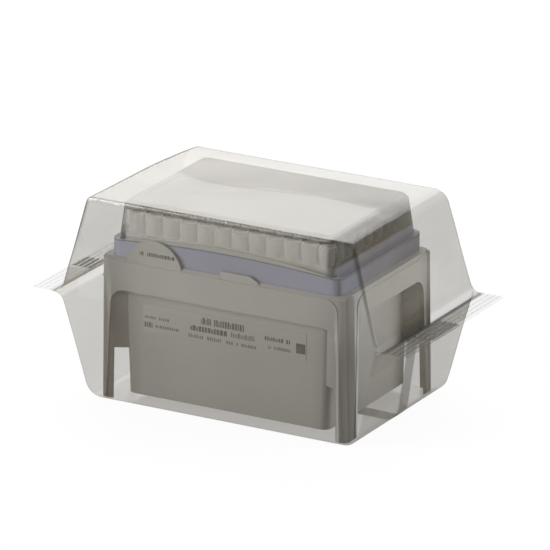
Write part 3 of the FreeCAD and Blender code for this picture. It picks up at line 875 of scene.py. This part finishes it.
def trayMaterial():
    nodes = Nodes("trayPlastic")
    x, y, z = nodes.axes()
    size = inMm("tip_tray")[1]
    inFromEnd = nodes.minus(size.x, nodes.size(x))
    inFromSide = nodes.minus(size.y, nodes.size(y))
    tone = nodes.mix(nodes.noise(scale=0.05, detail=3.0), *tray["colours"])
    fall = nodes.times(nodes.maths("POWER", nodes.size(x), 2.0), tray["archFall"])
    overArch = nodes.maths("ADD", nodes.minus(z, tray["archZ"]), fall)
    # painted light over the rim
    overRim = nodes.times(
        nodes.remap(overArch, -0.15, 0.15), nodes.remap(inFromEnd, *tray["rimEnd"])
    )
    tone = nodes.mix(overRim, tone, tray["overRim"])
    rimLine = nodes.window(overArch, *tray["rimLineZ"], soft=0.15)
    tone = nodes.mix(rimLine, tone, tray["rimLine"])
    onDeck = nodes.times(nodes.remap(nodes.size(y), *tray["deckY"]), overRim)
    tone = nodes.mix(onDeck, tone, tray["deck"])
    cornerX, cornerY = tray["cornerIn"]
    atCorner = nodes.times(nodes.remap(inFromEnd, *cornerX), nodes.remap(inFromSide, *cornerY))
    tone = nodes.mix(atCorner, tone, tray["cornerColour"])
    # painted shade on the end walls
    onEnd = nodes.remap(inFromEnd, *tray["endIn"])
    shade = nodes.fade(onEnd, 1.0, nodes.remap(y, *tray["endY"], *tray["endShade"]))
    # painted light towards +X
    shade = nodes.times(shade, nodes.remap(x, *tray["rightX"], 1.0, tray["rightPaintedShading"]))
    nodes.set(Base_Color=nodes.shaded(tone, shade), Roughness=tray["roughness"])
    return nodes.material


dress("tip_tray", trayMaterial())

lid = {
    # a wavy line across the top: clear in front of it, frosted behind
    "wave": [
        (-57.0, 12.6), (-54.0, 11.4), (-39.0, 6.5), (-30.5, 4.6), (-17.0, 5.4),
        (-3.0, 10.1), (9.0, 11.2), (21.0, 12.0), (37.0, 11.2), (51.0, 9.3), (57.0, 8.5),
    ],
    # the top begins this far below the lid's highest point
    "topZ": (-2.6, -1.2),
    "topColour": (0.60, 0.60, 0.58),
    "frostColour": (0.18, 0.178, 0.182),
    "lineColour": (0.25, 0.245, 0.24),
    # how much light passes square on, clear and frosted, and the roughness likewise
    "topClear": (0.92, 0.87),
    "roughness": (0.16, 0.6),
    # how much the end walls and the long walls lean in, per millimetre up
    "lean": (0.122, 0.10),
    # the long walls: low down and where the tips stand behind, and beside the tips
    "wallColour": (0.92, 0.905, 0.86),
    "wallZ": (2.0, 4.0),
    "wallClear": (0.965, 0.83),
    "besideX": (51.6, 53.0),
    "besideColour": (0.16, 0.157, 0.15),
    # the end walls, painted in shade, dark and less clear: this far in, the +X one in front and at
    # the back, the share left in its far corner, and the -X one
    "endIn": (2.1, 1.7),
    "endShadeColour": (0.05, 0.05, 0.045),
    "endY": (-34.0, 34.0),
    "endClear": (0.94, 0.90),
    "farY": (16.0, 30.0),
    "farClear": 0.78,
    "leftX": (-20.0, -19.0),
    "leftClear": 0.885,
    # the lowest part of the end walls is as dark as the tray behind it, up to a thin line
    "lowRise": 4.2,
    "lowLine": 0.7,
    "lowColour": (0.11, 0.115, 0.15),
    "lowClear": 0.55,
    # the upright corners
    "cornerIn": (1.5, 1.1),
    "cornerColour": (0.03, 0.03, 0.03),
    "cornerClear": 0.6,
    # a dark line under the top edge, measured from the lid's highest point
    "edgeZ": (-4.1, -3.1),
    "edgeClear": 0.82,
    # how fast the light fades where a wall is seen edge on
    "edgeOn": 2.0,
}


def lidMaterial():
    nodes = Nodes("lidPlastic")
    x, y, z = nodes.axes()
    low, high = inMm("lid")
    rise = nodes.minus(z, low.z)
    fromTop = nodes.minus(z, high.z)
    leanX, leanY = (nodes.times(rise, lean) for lean in lid["lean"])
    inFromEnd = nodes.minus(high.x, nodes.maths("ADD", nodes.size(x), leanX))
    inFromSide = nodes.minus(-low.y, nodes.maths("ADD", nodes.size(y), leanY))

    onTop = nodes.remap(fromTop, *lid["topZ"])
    behind = nodes.minus(y, nodes.curve(x, lid["wave"]))
    frost = nodes.remap(behind, -0.2, 0.2)
    topTone = nodes.mix(frost, lid["topColour"], lid["frostColour"])
    topTone = nodes.mix(nodes.window(behind, -0.25, 0.25, soft=0.25), topTone, lid["lineColour"])

    onEnd = nodes.remap(inFromEnd, *lid["endIn"])
    atCorner = nodes.times(
        nodes.remap(inFromEnd, *lid["cornerIn"]), nodes.remap(inFromSide, *lid["cornerIn"])
    )
    underEdge = nodes.window(fromTop, *lid["edgeZ"], soft=0.4)
    lowRise = lid["lowRise"]
    onLow = nodes.times(onEnd, nodes.remap(rise, lowRise, lowRise - 0.3))
    onLine = nodes.times(onEnd, nodes.window(rise, lowRise, lowRise + lid["lowLine"], soft=0.2))

    beside = nodes.remap(nodes.size(x), *lid["besideX"])
    wallTone = nodes.mix(beside, lid["wallColour"], lid["besideColour"])
    # painted shade: the end walls are dark
    wallTone = nodes.mix(onEnd, wallTone, lid["endShadeColour"])
    wallTone = nodes.mix(atCorner, wallTone, lid["cornerColour"])
    wallTone = nodes.mix(underEdge, wallTone, lid["cornerColour"])
    wallTone = nodes.mix(onLow, wallTone, lid["lowColour"])
    wallTone = nodes.mix(onLine, wallTone, lid["cornerColour"])

    # painted shade: the end walls are less clear, most in the +X one's far corner
    endClear = nodes.remap(y, *lid["endY"], *lid["endClear"])
    endClear = nodes.times(endClear, nodes.remap(y, *lid["farY"], 1.0, lid["farClear"]))
    endClear = nodes.remap(x, *lid["leftX"], lid["leftClear"], endClear)
    wallClear = nodes.remap(rise, *lid["wallZ"], *lid["wallClear"])
    wallClear = nodes.fade(onEnd, wallClear, endClear)
    wallClear = nodes.fade(atCorner, wallClear, lid["cornerClear"])
    wallClear = nodes.fade(underEdge, wallClear, lid["edgeClear"])
    wallClear = nodes.fade(nodes.maths("MAXIMUM", onLow, onLine), wallClear, lid["lowClear"])
    clear = nodes.fade(onTop, wallClear, nodes.fade(frost, *lid["topClear"]))

    nodes.set(
        Base_Color=nodes.mix(onTop, wallTone, topTone),
        Roughness=nodes.fade(nodes.times(frost, onTop), *lid["roughness"]),
        Alpha=thinLayer(nodes, clear, edge=lid["edgeOn"]),
    )
    return nodes.material


dress("lid", lidMaterial())

label = {
    "colours": ((0.33, 0.32, 0.292), (0.30, 0.29, 0.267)),
    "roughness": 0.5,
    # how the sticker leans back, per millimetre up
    "lean": 0.0091,
    # the tab's front stands this far behind the base's lowest front edge
    "tabStep": 1.05,
    # the print: its thickness and how far its front stands off the sticker
    "thick": 0.02,
    "lift": 0.03,
    "ink": (0.038, 0.038, 0.035),
    "paleInk": (0.085, 0.083, 0.078),
    "inkPatch": 1.25,
    "inkRoughness": 0.55,
    # between strokes, between words, and the shortest stroke at a word's end
    "gap": 0.38,
    "space": 1.5,
    "shortest": 0.3,
    # a stroke's least and added width, and how often and how much one is lower
    "uneven": (0.6, 0.9),
    "lowOften": 0.25,
    "lowShare": 0.8,
    # each line's x and z at its start, its height, and the lengths of its words
    "paleLines": [
        (-42.8, 41.1, 1.3, (6.2, 5.7)),
        (-37.0, 37.2, 1.4, (12.4,)),
        (-19.7, 35.9, 1.7, (8.3, 7.2)),
        (0.2, 35.9, 1.5, (3.6, 1.2, 8.0)),
        (22.0, 37.5, 1.6, (1.6, 8.6)),
        (2.6, 39.5, 2.5, (12.2,)),
    ],
    "darkLines": [
        (-12.9, 43.2, 3.2, (5.2, 15.6)),
        (-42.8, 36.8, 2.5, (4.2,)),
        (20.2, 41.4, 1.9, (9.6, 1.9)),
    ],
    "boldLines": [(-18.6, 39.4, 2.5, (19.2,))],
    "tabLines": [(-43.2, 72.3, 1.8, (2.4, 14.6))],
    # the width of a stroke in each of them
    "paleStroke": 0.7,
    "darkStroke": 0.75,
    "boldStroke": 1.2,
    "tabStroke": 0.8,
    # a dark square: x and z of its middle, and its side
    "square": (38.8, 40.3, 4.8),
}
labelLow, labelHigh = inMm("front_label")
baseFront = inMm("base")[0].y


def labelMaterial():
    nodes = Nodes("labelStock")
    nodes.axes()
    fibre = nodes.noise(scale=1.5, detail=3.0)
    nodes.set(Base_Color=nodes.mix(fibre, *label["colours"]), Roughness=label["roughness"])
    return nodes.material


dress("front_label", labelMaterial())


# the y of the sticker's front at a height
def labelFront(z):
    return labelLow.y + label["lean"] * (labelHigh.z - z)


def tabFront(_):
    return baseFront + label["tabStep"]


# a thin upright block whose left lower corner is at x and z, just off a front face
def plate(bm, x, z, width, height, front):
    made = bmesh.ops.create_cube(bm, size=1)["verts"]
    bmesh.ops.scale(bm, vec=(width, label["thick"], height), verts=made)
    place = (x + width / 2, front - label["lift"] + label["thick"] / 2, z + height / 2)
    bmesh.ops.translate(bm, vec=place, verts=made)


# an uneven number from 0 to 1 that is the same each time
def chanceAt(count):
    return (math.sin(count * 12.9898) * 43758.5453) % 1


# words as rows of upright strokes of uneven width and height, not letters
def strokes(bm, lines, front, stroke):
    count = 0
    least, added = label["uneven"]
    for x, z, height, words in lines:
        for word in words:
            end = x + word
            while x < end - label["shortest"]:
                chance = chanceAt(count)
                width = min(stroke * (least + added * chance), end - x)
                share = 1.0 if chance > label["lowOften"] else label["lowShare"]
                plate(bm, x, z, width, height * share, front(z))
                x += width + label["gap"]
                count += 1
            x = end + label["space"]
    return bm


def ink(name, colour):
    nodes = Nodes(name)
    nodes.axes()
    patches = nodes.noise(scale=2.5, detail=3.0)
    tone = nodes.mix(patches, colour, scaled(colour, label["inkPatch"]))
    nodes.set(Base_Color=tone, Roughness=label["inkRoughness"])
    return nodes.material


darkBars = strokes(bmesh.new(), label["darkLines"], labelFront, label["darkStroke"])
strokes(darkBars, label["boldLines"], labelFront, label["boldStroke"])
strokes(darkBars, label["tabLines"], tabFront, label["tabStroke"])
middleX, middleZ, side = label["square"]
plate(darkBars, middleX - side / 2, middleZ - side / 2, side, side, labelFront(middleZ))
newPiece("labelBars", darkBars, (ink("darkInk", label["ink"]),))
paleBars = strokes(bmesh.new(), label["paleLines"], labelFront, label["paleStroke"])
newPiece("labelFineBars", paleBars, (ink("paleInk", label["paleInk"]),))
print("materials done")

studio = {
    # the light of the surroundings, straight up and at the horizon
    "sky": 0.36,
    "horizon": 0.22,
    # azimuth, elevation, distance in millimetres, size in metres, watts
    "lamps": {
        "lampLeft": (-50, 16, 1200, 0.8, 18.5),
        "lampRight": (112, 14, 1200, 0.8, 17.0),
        "lampBack": (209, 38, 1300, 1.3, 13.0),
    },
    # in metres
    "floorSize": 8,
    "floorDrop": 0.0002,
    "floorColour": 0.45,
    "floorRoughness": 0.9,
    # the share of white that the camera sees on the floor, and its strength
    "floorGlow": (0.86, 1.08),
    # the camera: what it looks at, from where (degrees, millimetres), and its lens
    "target": (4.15, 0.0, 58.13),
    "azimuth": 29.39,
    "elevation": 19.24,
    "distance": 3000.0,
    "lens": 430.15,
    "clipEnd": 50,
    # film, lid and tips lie many layers deep
    "clearLayers": 40,
}
middlePoint = Vector(studio["target"]) * mm


# turns a lamp or the camera at a place towards the middle of the object
def aim(thing, place):
    thing.location = place
    thing.rotation_euler = (middlePoint - place).to_track_quat("-Z", "Y").to_euler()
    bpy.context.scene.collection.objects.link(thing)


# a point at an angle round the middle; azimuth 0 is in front, towards -Y
def around(azimuth, elevation, distance):
    turn, rise = math.radians(azimuth), math.radians(elevation)
    flat = math.cos(rise)
    back = Vector((math.sin(turn) * flat, -math.cos(turn) * flat, math.sin(rise)))
    return middlePoint + back * distance * mm


floorMesh = bmesh.new()
bmesh.ops.create_grid(floorMesh, x_segments=1, y_segments=1, size=studio["floorSize"] / 2)
floorData = bpy.data.meshes.new("floor")
floorMesh.to_mesh(floorData)
floorMesh.free()
floor = bpy.data.objects.new("floor", floorData)
floor.location.z = -studio["floorDrop"]
bpy.context.scene.collection.objects.link(floor)
floorNodes = Nodes("floorPaper")
glowShare, glowStrength = studio["floorGlow"]
path = floorNodes.add("ShaderNodeLightPath")
seen = floorNodes.times(path.outputs["Is Camera Ray"], glowShare)
glow = floorNodes.add("ShaderNodeEmission", Strength=glowStrength)
floorNodes.set(Base_Color=(studio["floorColour"],) * 3, Roughness=studio["floorRoughness"])
blend = floorNodes.add("ShaderNodeMixShader")
for index, output in enumerate((seen, floorNodes.shader.outputs[0], glow.outputs[0])):
    floorNodes.feed(blend, index, output)
floorNodes.feed(floorNodes.tree.nodes["Material Output"], "Surface", blend.outputs[0])
floorData.materials.append(floorNodes.material)

world = bpy.data.worlds.new("studio")
bpy.context.scene.world = world
world.use_nodes = True
sky = world.node_tree
skyPlace = sky.nodes.new("ShaderNodeTexCoord").outputs["Generated"]
skyParts = sky.nodes.new("ShaderNodeSeparateXYZ")
sky.links.new(skyPlace, skyParts.inputs[0])
skyRange = sky.nodes.new("ShaderNodeMapRange")
sky.links.new(skyParts.outputs["Z"], skyRange.inputs[0])
for index, value in enumerate((0.0, 1.0, studio["horizon"], studio["sky"])):
    skyRange.inputs[index + 1].default_value = value
skyPath = sky.nodes.new("ShaderNodeLightPath")
skyMix = sky.nodes.new("ShaderNodeMix")
sky.links.new(skyPath.outputs["Is Camera Ray"], skyMix.inputs[0])
sky.links.new(skyRange.outputs["Result"], skyMix.inputs[2])
skyMix.inputs[3].default_value = 1.0
background = sky.nodes["Background"]
background.inputs["Color"].default_value = (1, 1, 1, 1)
sky.links.new(skyMix.outputs[0], background.inputs["Strength"])

for name, (azimuth, elevation, distance, size, power) in studio["lamps"].items():
    lampData = bpy.data.lights.new(name, "AREA")
    lampData.size = size
    lampData.energy = power
    aim(bpy.data.objects.new(name, lampData), around(azimuth, elevation, distance))

cameraData = bpy.data.cameras.new("camera")
cameraData.lens = studio["lens"]
cameraData.clip_end = studio["clipEnd"]
camera = bpy.data.objects.new("camera", cameraData)
aim(camera, around(studio["azimuth"], studio["elevation"], studio["distance"]))
bpy.context.scene.camera = camera
bpy.context.scene.view_settings.view_transform = "Standard"
bpy.context.scene.cycles.transparent_max_bounces = studio["clearLayers"]
print("studio done")
